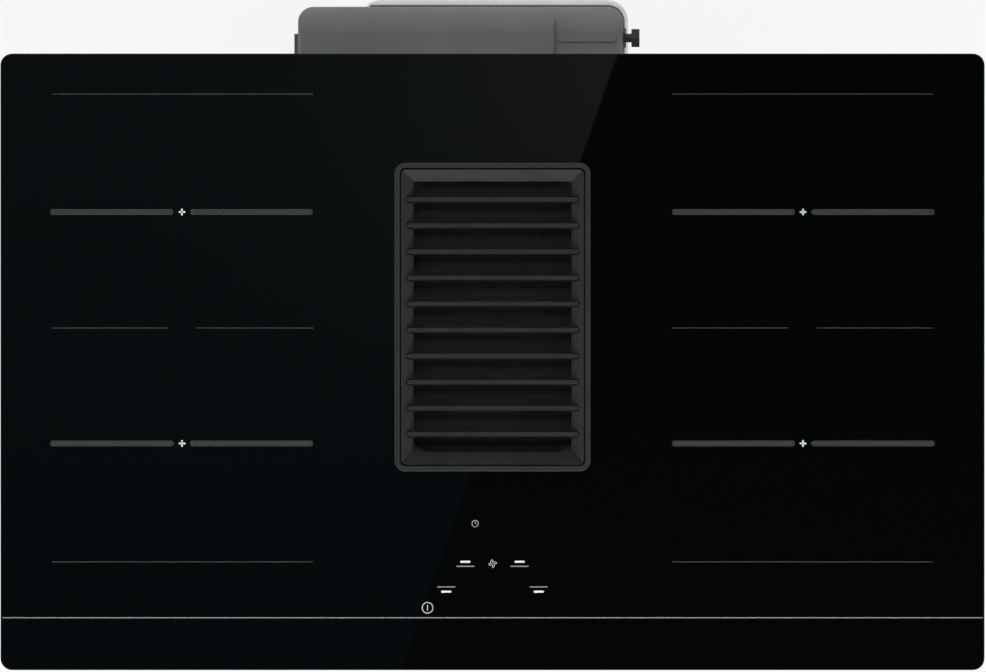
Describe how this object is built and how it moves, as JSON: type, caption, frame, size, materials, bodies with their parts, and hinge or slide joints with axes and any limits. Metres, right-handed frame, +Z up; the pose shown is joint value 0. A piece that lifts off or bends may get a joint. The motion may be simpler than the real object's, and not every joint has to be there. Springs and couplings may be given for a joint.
{
  "type": "induction cooktop",
  "caption": "Black glass induction cooktop with a middle downdraft grille over a lift-out grease filter and drip tray, and a fan housing behind it that blows down into a flat duct.",
  "frame": {"origin": "middle of the glass plate, on the worktop surface under the sealing strip", "axes": "+X to the cook's right, +Y to the back, +Z up"},
  "size_m": [0.83, 0.565, 0.2121],
  "materials": {
    "black_glass": "polished",
    "seal_foam": "soft foam",
    "frame_metal": "satin",
    "grille_iron": "matt enamel",
    "black_rubber": "matt",
    "filter_metal": "dark anodised",
    "filter_pad": "expanded mesh",
    "dark_plastic": "moulded",
    "zinc_sheet": "zinc coated",
    "aluminium_sheet": "mill finish",
    "mica": "flaky",
    "sensor_steel": "drawn cap",
    "board_green": "solder resist",
    "aluminium_fins": "extruded",
    "black_plastic": "moulded",
    "terminal_plastic": "moulded",
    "gland_plastic": "moulded",
    "screw_steel": "zinc plated",
    "housing_plastic": "fine grain",
    "clip_steel": "black spring steel",
    "impeller_plastic": "moulded",
    "shaft_steel": "ground",
    "motor_steel": "laminated stack",
    "collar_plastic": "moulded",
    "copper_wire": "lacquered strands",
    "former_plastic": "moulded",
    "ferrite": "sintered",
    "clamp_steel": "zinc plated"
  },
  "bodies": {
    "cooktop": {"glass_top": "black_glass", "worktop_seal": "seal_foam", "intake_frame": "frame_metal", "air_shaft": "dark_plastic", "shaft_gasket": "seal_foam", "inlet_gasket": "seal_foam", "casing_left": "zinc_sheet", "casing_right": "zinc_sheet", "front_bridge": "zinc_sheet", "rear_bridge": "zinc_sheet", "coil_plate_left": "aluminium_sheet", "coil_plate_right": "aluminium_sheet", "mica_sheets": "mica", "coil_sensors": "sensor_steel", "power_board_left": "board_green", "power_board_right": "board_green", "heatsinks": "aluminium_fins", "cooling_fans": "black_plastic", "touch_board": "board_green", "touch_carrier": "black_plastic", "terminal_block": "terminal_plastic", "cable_glands": "gland_plastic", "clamp_pivots": "screw_steel", "fan_housing_rear": "housing_plastic", "fan_housing_front": "housing_plastic", "housing_clips": "clip_steel", "fan_motor": "motor_steel", "motor_dampers": "black_rubber", "duct_collar": "collar_plastic", "coil_winding_front_left": "copper_wire", "coil_former_front_left": "former_plastic", "ferrite_bars_front_left": "ferrite", "coil_winding_front_right": "copper_wire", "coil_former_front_right": "former_plastic", "ferrite_bars_front_right": "ferrite", "coil_winding_rear_left": "copper_wire", "coil_former_rear_left": "former_plastic", "ferrite_bars_rear_left": "ferrite", "coil_winding_rear_right": "copper_wire", "coil_former_rear_right": "former_plastic", "ferrite_bars_rear_right": "ferrite"},
    "drip_tray": {"drip_tray": "dark_plastic"},
    "grease_filter": {"filter_frame": "filter_metal", "filter_mesh": "filter_pad", "filter_lift_loops": "filter_metal"},
    "grille": {"intake_grille": "grille_iron", "grille_buffers": "black_rubber"},
    "fan_wheel": {"impeller": "impeller_plastic", "impeller_shaft": "shaft_steel"},
    "cooling_wheel_left": {"cooling_rotor_left": "black_plastic"},
    "cooling_wheel_right": {"cooling_rotor_right": "black_plastic"},
    "clamp_front_left": {"worktop_clamp_front_left": "clamp_steel"},
    "clamp_front_right": {"worktop_clamp_front_right": "clamp_steel"},
    "clamp_rear_left": {"worktop_clamp_rear_left": "clamp_steel"},
    "clamp_rear_right": {"worktop_clamp_rear_right": "clamp_steel"}
  },
  "joints": [
    {"name": "drip_tray_lift", "type": "slide", "parent": "cooktop", "child": "drip_tray", "axis": [0, 0, 1], "range_m": [0, 0.24]},
    {"name": "filter_lift", "type": "slide", "parent": "drip_tray", "child": "grease_filter", "axis": [0, 0, 1], "range_m": [0, 0.12]},
    {"name": "grille_lift", "type": "slide", "parent": "grease_filter", "child": "grille", "axis": [0, 0, 1], "range_m": [0, 0.1]},
    {"name": "fan_wheel_spin", "type": "hinge", "parent": "cooktop", "child": "fan_wheel", "pos_m": [-0.014, 0.22, -0.11575], "axis": [0, 1, 0], "continuous": true},
    {"name": "cooling_left_spin", "type": "hinge", "parent": "cooktop", "child": "cooling_wheel_left", "pos_m": [-0.26185, -0.197, -0.041], "axis": [0, 0, 1], "continuous": true},
    {"name": "cooling_right_spin", "type": "hinge", "parent": "cooktop", "child": "cooling_wheel_right", "pos_m": [0.26185, -0.197, -0.041], "axis": [0, 0, 1], "continuous": true},
    {"name": "clamp_front_left_swing", "type": "hinge", "parent": "cooktop", "child": "clamp_front_left", "pos_m": [-0.382, -0.182, -0.0545], "axis": [0, 0, 1], "range_deg": [0, 90]},
    {"name": "clamp_front_right_swing", "type": "hinge", "parent": "cooktop", "child": "clamp_front_right", "pos_m": [0.382, -0.182, -0.0545], "axis": [0, 0, -1], "range_deg": [0, 90]},
    {"name": "clamp_rear_left_swing", "type": "hinge", "parent": "cooktop", "child": "clamp_rear_left", "pos_m": [-0.382, 0.182, -0.0545], "axis": [0, 0, -1], "range_deg": [0, 90]},
    {"name": "clamp_rear_right_swing", "type": "hinge", "parent": "cooktop", "child": "clamp_rear_right", "pos_m": [0.382, 0.182, -0.0545], "axis": [0, 0, 1], "range_deg": [0, 90]}
  ]
}
